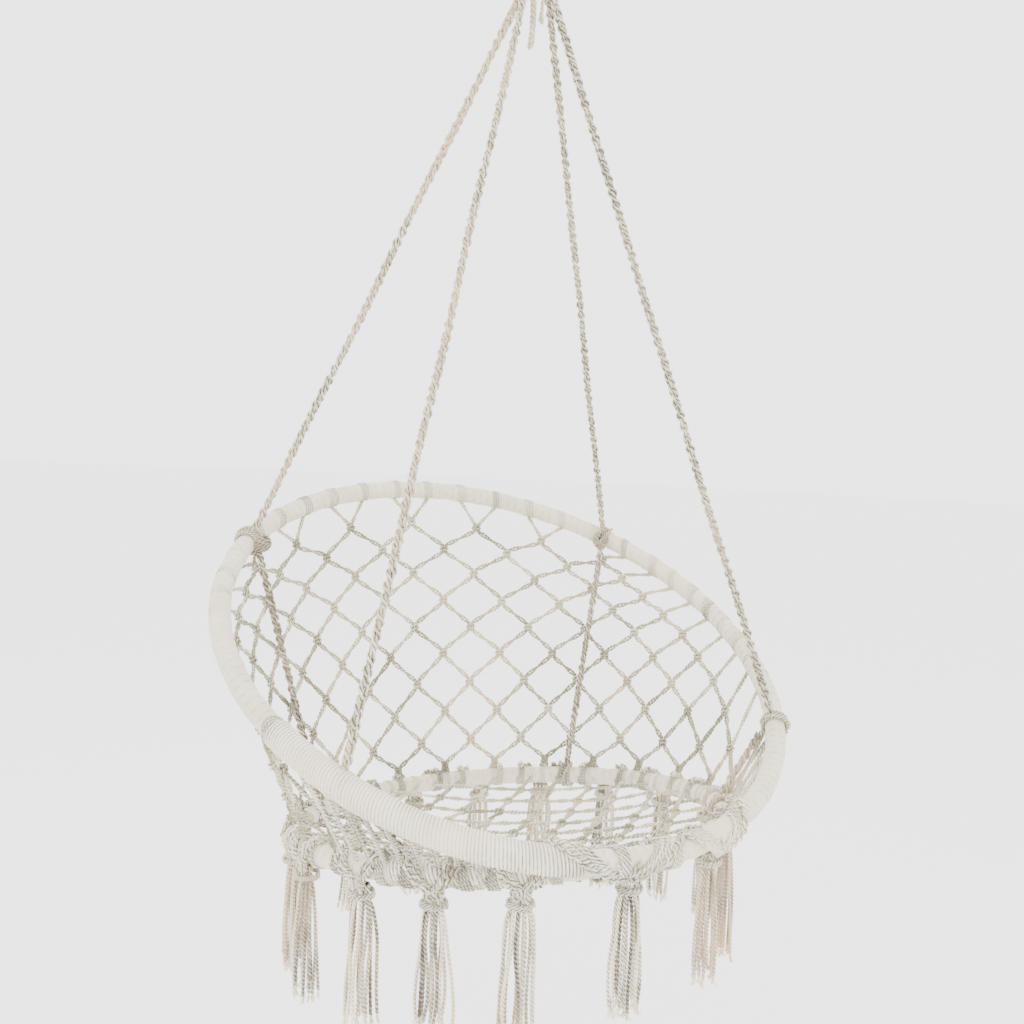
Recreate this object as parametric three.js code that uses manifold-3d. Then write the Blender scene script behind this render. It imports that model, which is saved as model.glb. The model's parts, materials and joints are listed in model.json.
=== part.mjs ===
// Macrame nest swing chair, in millimetres, +Z up, with the sitter facing -Y. Left and right in names
// are as seen from in front, so right is +X.
// A wide tilted back ring and a smaller seat ring are lashed together at the front. A net joins them
// round the back and sides, a second net fills the seat ring, tassels hang from it, and four ropes
// carry both rings from one steel ring. The origin is where the hook bears on the steel ring.

import * as THREE from "three";
import { mergeVertices } from "three/addons/utils/BufferGeometryUtils.js";
import Module from "manifold-3d";

const wasm = await Module();
wasm.setup();

// General
const ROPE_SIDES = 8;
const SLEEVE_SIDES = 10;
const TASSEL_SIDES = 10;
const ROUND_SIDES = 16;
const GAP = 0.3; // clearance between neighbours that touch
const PLUG_MARGIN = 1.8; // nets are cut back this far from ties and lashings
const Y_AXIS = new THREE.Vector3(0, 1, 0);

// Steel hanging ring, upright in the XZ plane
const HANG_RING_RADIUS = 36; // to the middle of the wire
const HANG_WIRE_RADIUS = 4;

// Rope hitches on the hanging ring
const ROPE_RADIUS = 5.5;
const HITCH_LEAN = 13.4; // degrees round the hanging ring, to each side
const LOOP_RADIUS = 11; // rope middle, round the wire
const LOOP_DROP = 36; // from the wire down to the loop's ends
const LOOP_FOOT_SPREAD = 6; // half the distance between the loop's two ends
const LOOP_STEPS = 22;
const LOOP_BELLY = 1.5; // the legs stand this much further apart half way up
const KNOT_RADIUS = 11;
const KNOT_FLAT_RADIUS = 8;
const KNOT_HEIGHT = 24;
const ROPE_PAIR_SPREAD = 5.8; // half the distance between the two ropes under one knot
const ROPE_TOP_GAP = 1.9; // from the knot's flat underside to the ropes' slanted tops

// Frayed rope tails under the knots: each route's points are measured from the knot's foot
const TAIL_RADIUS = 4.5;
const TAIL_STEPS = 6;
const TAIL_TOP_GAP = 2.1; // below the knot
const TAIL_ROUTES = {
  left: [[-7, -2, 0], [-7, -3, -22], [-8, -4, -44], [-10, -5, -64]],
  right: [[7, -2, 0], [6.5, -2.5, -9], [6, -3, -18], [5.5, -3.5, -27]],
};

// The two big rings: a steel rod inside a cotton sleeve, with a thicker cord binding at the front
const RING_FACET = 8; // degrees of arc per facet
const FACET_SLACK = 1; // how far a facet strays from the true circle
const ROD_RADIUS = 4.5;
const ROD_SIDES = 6;
const BACK_RING = { radius: 387.5, tilt: 28, wrap: 13.5, binding: 17, bound: [200, 256] };
const SEAT_RING = { radius: 287.5, tilt: -9.5, wrap: 13, binding: 15.5, bound: [208, 248] };
const SEAT_DROP = 1221; // from the origin down to the middle of the seat ring
const SEAT_OFFSET = [4.8, -16.8]; // the seat ring's middle in X and Y, where the chair balances
const FRONT_CONTACT = { distance: 33.5, rise: 24.9 }; // between the rings' middles; degrees above level

// Rope ties on the big rings
const TIE_THICKNESS = 5.5;
const TIE_HALF_WIDTH = 9;
const ROPES = [
  { name: "back_left", side: -1, fore: 1, ringAngle: 142, seatAngle: 139 },
  { name: "front_left", side: -1, fore: -1, ringAngle: 215.5, seatAngle: 215.5 },
  { name: "back_right", side: 1, fore: 1, ringAngle: 38, seatAngle: 41 },
  { name: "front_right", side: 1, fore: -1, ringAngle: -35.5, seatAngle: -35.5 },
];
const LOWER_ROPE_INSET = 12; // lower ropes run this far inside the back net

// Front lashings, each round both rings
const LASHING_OFFSETS = [-52, 18]; // along X, either side of the front tassel
const LASHING_WIDTH = 14;
const LASHING_CLEARANCE = 1.2;
const LASHING_THICKNESS = 4;
const HULL_STEPS = 6; // facets round each end

// Nets
const NET_THICKNESS = 4;
const CORD_WIDTH = 6;
const SMALLEST_HOLE = 8;
const HOLE_SHARE = 0.84; // of a diamond's width that is hole, the rest being cord
const FAN_RADIUS = 300;
const BACK_NET = { from: -48, to: 228, columns: 17, rows: 3, topGap: 18.4, bottomGap: 16.8, rim: 6 };
const SEAT_NET = { radius: 271, sag: 26, rings: [32, 88, 144, 200, 263], sectors: [6, 10, 14, 18] };

// Tassels: angle round the seat ring, degrees
const TASSEL_ANGLES = [6, 28, 50, 70, 92, 116, 147, 165, 181, 204, 223, 242, 267, 296, 318, 342];
const TASSEL_OUTSET = 4; // pivots lie this far outside the seat ring's middle
const TASSEL_TOP_GAP = 1.8;
const TASSEL_LENGTH = 160;
const TASSEL_VARIATION = 7;
const TASSEL_HEAD = [[0, 0], [5, -0.5], [15, -14], [11, -34], [11, -46], [15, -58]]; // radius, height
const TASSEL_END_RADIUS = 18;
const TASSEL_DEPTH = { top: 2, head: 8, strands: 14 }; // half the thickness, front to back
const TASSEL_HEAD_AT = 14; // depth has grown to the head's this far down
const TASSEL_STRANDS_FROM = 46;
const TASSEL_STRANDS_GROW = 12;

const MATERIALS = {
  steel: new THREE.MeshStandardMaterial({ color: 0xb9bcc0, roughness: 0.32, metalness: 1 }),
  rod: new THREE.MeshStandardMaterial({ color: 0x8d9092, roughness: 0.5, metalness: 1 }),
  wrap: new THREE.MeshStandardMaterial({ color: 0xece7da, roughness: 0.85, metalness: 0 }),
  binding: new THREE.MeshStandardMaterial({ color: 0xf0ebdf, roughness: 0.88, metalness: 0 }),
  rope: new THREE.MeshStandardMaterial({ color: 0xd6d0c2, roughness: 0.9, metalness: 0 }),
  net: new THREE.MeshStandardMaterial({ color: 0xe3decf, roughness: 0.9, metalness: 0 }),
  tassel: new THREE.MeshStandardMaterial({ color: 0xe4d9c6, roughness: 0.92, metalness: 0 }),
};

const radians = THREE.MathUtils.degToRad;

// ---------------------------------------------------------------------------------------------
// Geometry helpers

function polygon(radius, sides, kind = THREE.Shape) {
  const corners = [];
  for (let i = 0; i < sides; i += 1) {
    const angle = (2 * Math.PI * (i + 0.5)) / sides;
    corners.push(new THREE.Vector2(radius * Math.cos(angle), radius * Math.sin(angle)));
  }
  return new kind(corners);
}

function sweep(shape, curve, steps) {
  return new THREE.ExtrudeGeometry(shape, { extrudePath: curve, steps, bevelEnabled: false });
}

function signedVolume(geometry) {
  const { position } = geometry.attributes;
  const order = geometry.index.array;
  const [a, b, c] = [new THREE.Vector3(), new THREE.Vector3(), new THREE.Vector3()];
  let six = 0;
  for (let i = 0; i < order.length; i += 3) {
    a.fromBufferAttribute(position, order[i]);
    b.fromBufferAttribute(position, order[i + 1]);
    c.fromBufferAttribute(position, order[i + 2]);
    six += a.dot(b.cross(c));
  }
  return six / 6;
}

// One closed skin: shared corners merged, and faces turned outwards if a mapping mirrored them.
function closed(geometry) {
  const bare = geometry.clone();
  bare.deleteAttribute("normal");
  bare.deleteAttribute("uv");
  const skin = mergeVertices(bare, 1e-3);
  if (signedVolume(skin) < 0) {
    const order = skin.index.array;
    for (let i = 0; i < order.length; i += 3) {
      [order[i + 1], order[i + 2]] = [order[i + 2], order[i + 1]];
    }
  }
  skin.computeVertexNormals();
  return skin;
}

// Moves every corner of a flat extrusion to place(x, y, z).
function warp(geometry, place) {
  const { position } = geometry.attributes;
  for (let i = 0; i < position.count; i += 1) {
    const moved = place(position.getX(i), position.getY(i), position.getZ(i));
    position.setXYZ(i, moved.x, moved.y, moved.z);
  }
  return closed(geometry);
}

function toSolid(geometry) {
  const skin = closed(geometry);
  return new wasm.Manifold(
    new wasm.Mesh({
      numProp: 3,
      vertProperties: Float32Array.from(skin.attributes.position.array),
      triVerts: Uint32Array.from(skin.index.array),
    }),
  );
}

function cut(geometry, cutters) {
  let solid = toSolid(geometry);
  for (const cutter of cutters) {
    solid = solid.subtract(toSolid(cutter));
  }
  const { vertProperties, triVerts, numProp } = solid.getMesh();
  const result = new THREE.BufferGeometry();
  const corners = new Float32Array((vertProperties.length / numProp) * 3);
  for (let i = 0; i < corners.length / 3; i += 1) {
    corners.set(vertProperties.subarray(i * numProp, i * numProp + 3), i * 3);
  }
  result.setAttribute("position", new THREE.BufferAttribute(corners, 3));
  result.setIndex(new THREE.BufferAttribute(new Uint32Array(triVerts), 1));
  return closed(result);
}

function add(parent, name, geometry, material) {
  const mesh = new THREE.Mesh(closed(geometry), material.clone());
  mesh.name = name;
  parent.add(mesh);
  return mesh;
}

// ---------------------------------------------------------------------------------------------
// Places that several parts share

function middle(ring) {
  return ring === SEAT_RING ? seatMiddle : backMiddle;
}

// A point on a ring's middle line; 0 degrees is +X and 90 degrees the back.
function onRing(ring, degrees) {
  const angle = radians(degrees);
  const tilt = radians(ring.tilt);
  return new THREE.Vector3(
    ring.radius * Math.cos(angle),
    ring.radius * Math.sin(angle) * Math.cos(tilt),
    ring.radius * Math.sin(angle) * Math.sin(tilt),
  ).add(middle(ring));
}

function ringTangent(ring, degrees) {
  return onRing(ring, degrees + 0.5).sub(onRing(ring, degrees - 0.5)).normalize();
}

function isBound(ring, degrees) {
  const turn = (degrees + 360) % 360;
  return turn >= ring.bound[0] && turn <= ring.bound[1];
}

function skinRadius(ring, degrees) {
  return isBound(ring, degrees) ? ring.binding : ring.wrap;
}

function tieRadius(ring, degrees) {
  return skinRadius(ring, degrees) + GAP + FACET_SLACK + TIE_THICKNESS;
}

const seatMiddle = new THREE.Vector3(...SEAT_OFFSET, -SEAT_DROP);
const backMiddle = new THREE.Vector3();
{
  const rise = radians(FRONT_CONTACT.rise);
  const tilt = radians(BACK_RING.tilt);
  const contact = onRing(SEAT_RING, 270);
  contact.y -= FRONT_CONTACT.distance * Math.cos(rise);
  contact.z += FRONT_CONTACT.distance * Math.sin(rise);
  contact.y += BACK_RING.radius * Math.cos(tilt);
  contact.z += BACK_RING.radius * Math.sin(tilt);
  backMiddle.copy(contact);
}

// ---------------------------------------------------------------------------------------------
// Hanging ring, hitches, knots and tails

function addHangingRing(parent) {
  const ring = new THREE.TorusGeometry(HANG_RING_RADIUS, HANG_WIRE_RADIUS, 12, 40);
  const mesh = add(parent, "hanging_ring", ring, MATERIALS.steel);
  mesh.rotation.x = Math.PI / 2;
  mesh.position.z = -(HANG_RING_RADIUS - HANG_WIRE_RADIUS);
}

function loopCurve() {
  const points = [new THREE.Vector3(0, LOOP_FOOT_SPREAD, -LOOP_DROP)];
  points.push(new THREE.Vector3(0, LOOP_FOOT_SPREAD + LOOP_BELLY, -LOOP_DROP * 0.72));
  for (let turn = -10; turn <= 190; turn += 25) {
    const angle = radians(turn);
    points.push(new THREE.Vector3(0, LOOP_RADIUS * Math.cos(angle), LOOP_RADIUS * Math.sin(angle)));
  }
  points.push(new THREE.Vector3(0, -LOOP_FOOT_SPREAD - LOOP_BELLY, -LOOP_DROP * 0.72));
  points.push(new THREE.Vector3(0, -LOOP_FOOT_SPREAD, -LOOP_DROP));
  return new THREE.CatmullRomCurve3(points);
}

function knotGeometry() {
  const half = KNOT_HEIGHT / 2;
  const profile = [[0, -half], [KNOT_FLAT_RADIUS, -half], [KNOT_RADIUS, -half * 0.4]];
  profile.push([KNOT_RADIUS, half * 0.4], [KNOT_FLAT_RADIUS, half], [0, half]);
  const knot = new THREE.LatheGeometry(profile.map(([r, y]) => new THREE.Vector2(r, y)), 14);
  return knot.rotateX(Math.PI / 2);
}

const KNOT_CENTRE_DROP = LOOP_DROP + GAP + KNOT_HEIGHT / 2; // below the wire, along the hitch

// A point in the frame of one hitch, which leans round the hanging ring.
function hitchPoint(side, drop) {
  const lean = radians(HITCH_LEAN) * side;
  const reach = HANG_RING_RADIUS + drop;
  const height = HANG_WIRE_RADIUS - HANG_RING_RADIUS - reach * Math.cos(lean);
  return new THREE.Vector3(reach * Math.sin(lean), 0, height);
}

function addHitch(parent, side, label) {
  const hitch = new THREE.Group();
  hitch.position.copy(hitchPoint(side, 0));
  hitch.rotation.y = -radians(HITCH_LEAN) * side;
  parent.add(hitch);
  const loop = sweep(polygon(ROPE_RADIUS, ROPE_SIDES), loopCurve(), LOOP_STEPS);
  add(hitch, `hitch_loop_${label}`, loop, MATERIALS.rope);
  const knot = add(hitch, `hitch_knot_${label}`, knotGeometry(), MATERIALS.rope);
  knot.position.z = -KNOT_CENTRE_DROP;
  const start = hitchPoint(side, KNOT_CENTRE_DROP + KNOT_HEIGHT / 2).z - TAIL_TOP_GAP;
  const route = TAIL_ROUTES[label].map(([x, y, z]) => new THREE.Vector3(x, y, start + z));
  const tail = sweep(polygon(TAIL_RADIUS, ROPE_SIDES), new THREE.CatmullRomCurve3(route), TAIL_STEPS);
  add(parent, `rope_tail_${label}`, tail, MATERIALS.rope);
}

// ---------------------------------------------------------------------------------------------
// Rings, sleeves and ties, in each ring's own plane

class RingArc extends THREE.Curve {
  constructor(radius, from, to) {
    super();
    this.radius = radius;
    this.from = radians(from);
    this.to = radians(to);
  }

  getPoint(t, target = new THREE.Vector3()) {
    const angle = this.from + (this.to - this.from) * t;
    return target.set(this.radius * Math.cos(angle), this.radius * Math.sin(angle), 0);
  }
}

function sleeve(ring, outer, from, to) {
  const section = polygon(outer, SLEEVE_SIDES);
  section.holes.push(polygon((ROD_RADIUS + GAP) / Math.cos(Math.PI / ROD_SIDES), ROD_SIDES, THREE.Path));
  const seam = THREE.MathUtils.radToDeg(GAP / 2 / ring.radius);
  const steps = Math.round((to - from) / RING_FACET);
  return sweep(section, new RingArc(ring.radius, from + seam, to - seam), steps);
}

function ringGroup(parent, ring) {
  const plane = new THREE.Group();
  plane.position.copy(middle(ring));
  plane.rotation.x = radians(ring.tilt);
  parent.add(plane);
  return plane;
}

function addRing(plane, ring, label) {
  const rod = new THREE.TorusGeometry(ring.radius, ROD_RADIUS, ROD_SIDES, 360 / RING_FACET);
  add(plane, `${label}_ring_rod`, rod, MATERIALS.rod);
  const [start, end] = ring.bound;
  add(plane, `${label}_ring_wrap`, sleeve(ring, ring.wrap, end, start + 360), MATERIALS.wrap);
  add(plane, `${label}_ring_binding`, sleeve(ring, ring.binding, start, end), MATERIALS.binding);
}

// A rope turned round a ring: a band with a round-cornered section.
function tieBand(ring, degrees) {
  const inner = skinRadius(ring, degrees) + GAP + FACET_SLACK;
  const outer = tieRadius(ring, degrees);
  const half = TIE_HALF_WIDTH;
  const shoulder = half - TIE_THICKNESS / 2;
  const rounded = outer - TIE_THICKNESS / 2;
  const profile = [[inner, -half], [rounded, -half], [outer, -shoulder]];
  profile.push([outer, shoulder], [rounded, half], [inner, half], [inner, -half]);
  return new THREE.LatheGeometry(profile.map(([r, y]) => new THREE.Vector2(r, y)), ROUND_SIDES);
}

function addTie(plane, ring, degrees, name) {
  const mesh = add(plane, name, tieBand(ring, degrees), MATERIALS.rope);
  const angle = radians(degrees);
  mesh.position.set(ring.radius * Math.cos(angle), ring.radius * Math.sin(angle), 0);
  mesh.rotation.z = angle;
}

// The space that a band round a ring takes up, as a solid plug that the nets are cut back from.
function plugRound(ring, degrees, radius, halfWidth) {
  const plug = new THREE.CylinderGeometry(radius, radius, 2 * halfWidth, ROUND_SIDES);
  plug.applyQuaternion(new THREE.Quaternion().setFromUnitVectors(Y_AXIS, ringTangent(ring, degrees)));
  const { x, y, z } = onRing(ring, degrees);
  return plug.translate(x, y, z);
}

function tiePlug(ring, degrees) {
  return plugRound(ring, degrees, tieRadius(ring, degrees) + PLUG_MARGIN, TIE_HALF_WIDTH + PLUG_MARGIN);
}

// ---------------------------------------------------------------------------------------------
// Ropes

function rope(from, to) {
  return sweep(polygon(ROPE_RADIUS, ROPE_SIDES), new THREE.LineCurve3(from, to), 1);
}

// How far short of a ring's middle a rope must stop to clear a tie that it meets at a slant.
function clearOfTie(ring, degrees, direction) {
  const along = Math.abs(direction.dot(ringTangent(ring, degrees)));
  const across = Math.sqrt(1 - along * along);
  return (tieRadius(ring, degrees) + GAP + ROPE_RADIUS * along) / across;
}

function ropeTop({ side, fore }) {
  const knotFoot = hitchPoint(side, KNOT_CENTRE_DROP + KNOT_HEIGHT / 2);
  return knotFoot.add(new THREE.Vector3(0, fore * ROPE_PAIR_SPREAD, -ROPE_TOP_GAP));
}

function addUpperRope(parent, spec) {
  const top = ropeTop(spec);
  const tie = onRing(BACK_RING, spec.ringAngle);
  const direction = top.clone().sub(tie).normalize();
  const foot = tie.addScaledVector(direction, clearOfTie(BACK_RING, spec.ringAngle, direction));
  add(parent, `rope_${spec.name}`, rope(top, foot), MATERIALS.rope);
}

function addLowerRope(parent, spec) {
  const upper = onRing(BACK_RING, spec.ringAngle);
  const lower = onRing(SEAT_RING, spec.seatAngle);
  const direction = upper.clone().sub(lower).normalize();
  const topGap = clearOfTie(BACK_RING, spec.ringAngle, direction);
  const footGap = clearOfTie(SEAT_RING, spec.seatAngle, direction);
  upper.addScaledVector(netNormal(spec.ringAngle, BACK_RING), -LOWER_ROPE_INSET);
  upper.addScaledVector(direction, -topGap);
  lower.addScaledVector(netNormal(spec.seatAngle, SEAT_RING), -LOWER_ROPE_INSET);
  lower.addScaledVector(direction, footGap);
  add(parent, `lower_rope_${spec.name}`, rope(upper, lower), MATERIALS.rope);
}

// ---------------------------------------------------------------------------------------------
// Nets

// Outward normal, beside one ring, of the surface that runs from the seat ring up to the back ring.
function netNormal(degrees, ring) {
  const rise = onRing(BACK_RING, degrees).sub(onRing(SEAT_RING, degrees));
  return new THREE.Vector3().crossVectors(ringTangent(ring, degrees), rise).normalize();
}

// The straight line from the seat ring up to the back ring at one angle, and the part that is net.
function netLine(degrees) {
  const foot = onRing(SEAT_RING, degrees);
  const rise = onRing(BACK_RING, degrees).sub(foot);
  const length = rise.length();
  rise.normalize();
  const slant = (ring) => Math.sqrt(1 - rise.dot(ringTangent(ring, degrees)) ** 2);
  const start = BACK_NET.bottomGap / slant(SEAT_RING);
  const end = length - BACK_NET.topGap / slant(BACK_RING);
  return { foot, rise, start, end };
}

// Height 0 is the net's foot at the seat ring and height 1 its head at the back ring.
function onBackNet(degrees, height, depth) {
  const { foot, rise, start, end } = netLine(degrees);
  const reach = THREE.MathUtils.lerp(start, end, height);
  return foot.addScaledVector(rise, reach).addScaledVector(netNormal(degrees, SEAT_RING), depth);
}

function netSpan(degrees) {
  const { start, end } = netLine(degrees);
  return end - start;
}

// The net is drawn flat as a fan, whose inner edge becomes the foot and whose outer edge the head.
function onFan([degrees, height]) {
  const reach = FAN_RADIUS * (1 + height);
  return new THREE.Vector2(reach * Math.cos(radians(degrees)), reach * Math.sin(radians(degrees)));
}

function fromFan(x, y) {
  const turn = THREE.MathUtils.radToDeg(Math.atan2(y, x));
  const degrees = turn < BACK_NET.from - 1 ? turn + 360 : turn;
  return [degrees, Math.hypot(x, y) / FAN_RADIUS - 1];
}

// A diamond hole, or the half of it that lies between the rims; null where it would be too small.
function diamondHole(centre, halfWidth, low, high) {
  const span = netSpan(centre);
  const rim = BACK_NET.rim / span;
  const cord = CORD_WIDTH / 2 / span;
  const side = halfWidth * HOLE_SHARE;
  const bottom = Math.max(low + cord, rim);
  const top = Math.min(high - cord, 1 - rim);
  const mid = (low + high) / 2;
  const corners = [];
  if (low < 0) {
    corners.push([centre - side, bottom], [centre + side, bottom], [centre, top]);
  } else if (high > 1) {
    corners.push([centre - side, top], [centre, bottom], [centre + side, top]);
  } else if (mid > bottom && mid < top) {
    corners.push([centre - side, mid], [centre, bottom], [centre + side, mid], [centre, top]);
  }
  const usable = corners.length > 0 && (top - bottom) * span > SMALLEST_HOLE;
  return usable ? new THREE.Path(corners.map(onFan)) : null;
}

function addBackNet(parent, plugs) {
  const { from, to, columns, rows } = BACK_NET;
  const width = (to - from) / columns;
  const outline = [];
  for (let i = 0; i <= 2 * columns; i += 1) {
    outline.push(onFan([from + (i * width) / 2, 1]));
  }
  for (let i = 2 * columns; i >= 0; i -= 1) {
    outline.push(onFan([from + (i * width) / 2, 0]));
  }
  const panel = new THREE.Shape(outline);
  for (let column = 0; column < 2 * columns - 1; column += 1) {
    const centre = from + ((column + 1) * width) / 2;
    for (let row = 0; row <= rows; row += 1) {
      const low = column % 2 === 0 ? row / rows : (row - 0.5) / rows;
      const hole = diamondHole(centre, width / 2, low, low + 1 / rows);
      if (hole && low < 1) {
        panel.holes.push(hole);
      }
    }
  }
  const flat = new THREE.ExtrudeGeometry(panel, { depth: 1, bevelEnabled: false });
  const net = warp(flat, (x, y, z) => onBackNet(...fromFan(x, y), (z - 0.5) * NET_THICKNESS));
  add(parent, "back_net", cut(net, plugs), MATERIALS.net);
}

function addSeatNet(plane, plugs) {
  const { radius, sag, rings, sectors } = SEAT_NET;
  const disc = new THREE.Shape();
  for (let turn = 0; turn < 360; turn += RING_FACET) {
    const angle = radians(turn);
    const at = [radius * Math.cos(angle), radius * Math.sin(angle)];
    if (turn === 0) {
      disc.moveTo(...at);
    } else {
      disc.lineTo(...at);
    }
  }
  sectors.forEach((count, row) => {
    const inner = rings[row] + CORD_WIDTH / 2;
    const outer = rings[row + 1] - CORD_WIDTH / 2;
    for (let i = 0; i < count; i += 1) {
      const turn = (2 * Math.PI * (i + (row % 2) / 2)) / count;
      const half = Math.PI / count;
      const corner = (r, edge) => {
        const angle = turn + edge * (half - CORD_WIDTH / 2 / r);
        return new THREE.Vector2(r * Math.cos(angle), r * Math.sin(angle));
      };
      const corners = [corner(inner, -1), corner(inner, 1), corner(outer, 1), corner(outer, -1)];
      disc.holes.push(new THREE.Path(corners));
    }
  });
  const flat = new THREE.ExtrudeGeometry(disc, { depth: NET_THICKNESS, bevelEnabled: false });
  const net = warp(flat, (x, y, z) => {
    const dip = sag * (1 - (x * x + y * y) / (radius * radius));
    return new THREE.Vector3(x, y, z - NET_THICKNESS / 2 - dip);
  });
  plane.updateWorldMatrix(true, false);
  const toPlane = plane.matrixWorld.clone().invert();
  const local = plugs.map((plug) => plug.clone().applyMatrix4(toPlane));
  add(plane, "seat_net", cut(net, local), MATERIALS.net);
}

// ---------------------------------------------------------------------------------------------
// Front lashings

function hullOutline(a, b, reachA, reachB, kind) {
  const axis = b.clone().sub(a);
  const heading = axis.angle();
  const corners = [];
  const steps = HULL_STEPS;
  for (let i = 0; i <= steps; i += 1) {
    const angle = heading + Math.PI / 2 + (Math.PI * i) / steps;
    corners.push(new THREE.Vector2(a.x + reachA * Math.cos(angle), a.y + reachA * Math.sin(angle)));
  }
  for (let i = 0; i <= steps; i += 1) {
    const angle = heading - Math.PI / 2 + (Math.PI * i) / steps;
    corners.push(new THREE.Vector2(b.x + reachB * Math.cos(angle), b.y + reachB * Math.sin(angle)));
  }
  return new kind(corners);
}

function angleAt(ring, offset) {
  return 270 + THREE.MathUtils.radToDeg(Math.asin(offset / ring.radius));
}

function lashingPlug(offset) {
  const radius = SEAT_RING.wrap + FACET_SLACK + LASHING_CLEARANCE + LASHING_THICKNESS + 2 * PLUG_MARGIN;
  return plugRound(SEAT_RING, angleAt(SEAT_RING, offset), radius, LASHING_WIDTH / 2 + 2 * PLUG_MARGIN);
}

function addFrontLashing(parent, offset, name) {
  const seat = onRing(SEAT_RING, angleAt(SEAT_RING, offset));
  const back = onRing(BACK_RING, angleAt(BACK_RING, offset));
  const a = new THREE.Vector2(seat.y, seat.z);
  const b = new THREE.Vector2(back.y, back.z);
  const facets = Math.cos(Math.PI / (2 * HULL_STEPS));
  const seatReach = (SEAT_RING.wrap + FACET_SLACK + LASHING_CLEARANCE) / facets;
  const backReach = (BACK_RING.wrap + FACET_SLACK + LASHING_CLEARANCE) / facets;
  const band = hullOutline(a, b, seatReach + LASHING_THICKNESS, backReach + LASHING_THICKNESS, THREE.Shape);
  band.holes.push(hullOutline(a, b, seatReach, backReach, THREE.Path));
  const flat = new THREE.ExtrudeGeometry(band, { depth: LASHING_WIDTH, bevelEnabled: false });
  const lashing = warp(flat, (y, z, x) => new THREE.Vector3(seat.x + x - LASHING_WIDTH / 2, y, z));
  add(parent, name, lashing, MATERIALS.binding);
}

// ---------------------------------------------------------------------------------------------
// Tassels

function tasselLength(index) {
  return TASSEL_LENGTH + TASSEL_VARIATION * Math.sin(2.4 * index);
}

// Flat at its top edge, a fan and a knot below it, then a round bundle of strands.
function tasselGeometry(length) {
  const corners = [...TASSEL_HEAD, [TASSEL_END_RADIUS, -length], [0, -length]];
  const profile = corners.map(([r, z]) => new THREE.Vector2(r, z)).reverse();
  const round = new THREE.LatheGeometry(profile, TASSEL_SIDES).rotateX(Math.PI / 2);
  const { lerp, clamp } = THREE.MathUtils;
  const { top, head, strands } = TASSEL_DEPTH;
  return warp(round, (x, y, z) => {
    const toHead = clamp(-z / TASSEL_HEAD_AT, 0, 1);
    const toStrands = clamp((-z - TASSEL_STRANDS_FROM) / TASSEL_STRANDS_GROW, 0, 1);
    const depth = lerp(lerp(top, head, toHead), strands, toStrands);
    return new THREE.Vector3(x, (y * depth) / TASSEL_END_RADIUS, z);
  });
}

function addTassel(parent, degrees, index) {
  const ringPoint = onRing(SEAT_RING, degrees);
  const outward = ringPoint.clone().sub(seatMiddle).setZ(0).normalize();
  const skin = skinRadius(SEAT_RING, degrees);
  const name = `tassel_${String(index + 1).padStart(2, "0")}`;
  const mesh = add(parent, name, tasselGeometry(tasselLength(index)), MATERIALS.tassel);
  mesh.position.copy(ringPoint).addScaledVector(outward, TASSEL_OUTSET);
  mesh.position.z -= skin + TASSEL_TOP_GAP;
  mesh.rotation.z = Math.atan2(outward.y, outward.x) - Math.PI / 2;
}

// ---------------------------------------------------------------------------------------------
// Assembly

function buildSwing() {
  const swing = new THREE.Group();
  addHangingRing(swing);
  addHitch(swing, -1, "left");
  addHitch(swing, 1, "right");

  const backPlane = ringGroup(swing, BACK_RING);
  const seatPlane = ringGroup(swing, SEAT_RING);
  addRing(backPlane, BACK_RING, "back");
  addRing(seatPlane, SEAT_RING, "seat");

  const plugs = LASHING_OFFSETS.map(lashingPlug);
  for (const spec of ROPES) {
    addUpperRope(swing, spec);
    addTie(backPlane, BACK_RING, spec.ringAngle, `ring_tie_${spec.name}`);
    addLowerRope(swing, spec);
    addTie(seatPlane, SEAT_RING, spec.seatAngle, `seat_tie_${spec.name}`);
    plugs.push(tiePlug(BACK_RING, spec.ringAngle), tiePlug(SEAT_RING, spec.seatAngle));
  }

  addBackNet(swing, plugs);
  addSeatNet(seatPlane, plugs);
  addFrontLashing(swing, LASHING_OFFSETS[0], "front_lashing_left");
  addFrontLashing(swing, LASHING_OFFSETS[1], "front_lashing_right");
  TASSEL_ANGLES.forEach((degrees, index) => addTassel(swing, degrees, index));
  return swing;
}

export default buildSwing();
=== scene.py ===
"""Hanging macrame nest chair: the looks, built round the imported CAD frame.

Everything soft is real cord: plaited ropes, two-ply net cord tied in square knots, wound rings and
knotted tassels. Metres, +Z up, the sitter facing -Y. Left and right are as seen from in front.
"""

import json
import math

import bpy
import numpy as np
from mathutils import Matrix, Vector


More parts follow.
